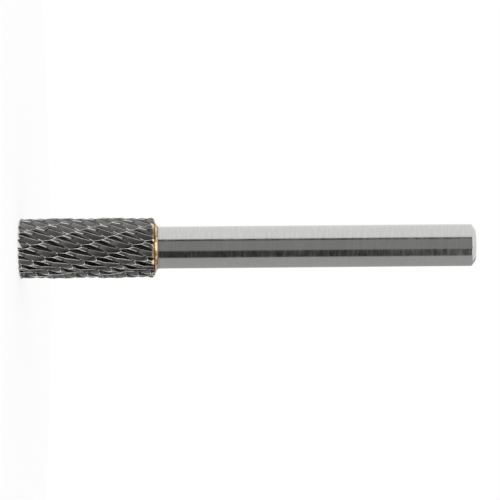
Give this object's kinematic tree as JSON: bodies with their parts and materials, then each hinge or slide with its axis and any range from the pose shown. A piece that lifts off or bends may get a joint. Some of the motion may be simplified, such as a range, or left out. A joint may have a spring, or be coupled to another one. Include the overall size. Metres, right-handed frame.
{
  "type": "carbide burr",
  "caption": "Cylindrical double-cut burr with an end cut: a dark toothed carbide head brazed to a bright ground steel shank, for a rotary grinder's collet.",
  "frame": {"origin": "centre of the cutting end, in the plane of the end teeth's tips, which the burr stands on", "axes": "+Z along the burr's axis from the cutting end towards the shank; X and Y across it, with no preferred direction"},
  "size_m": [0.0086, 0.0086, 0.065],
  "materials": {
    "sintered_carbide": "dark grey tungsten carbide, ground, with bright tooth edges",
    "braze_alloy": "silver-copper braze, bronze to pale gold, smooth fillet",
    "ground_steel": "hardened steel, fine ground and bright"
  },
  "bodies": {
    "root": {"cutting_head": "sintered_carbide", "braze_joint": "braze_alloy", "shank": "ground_steel"}
  },
  "joints": []
}
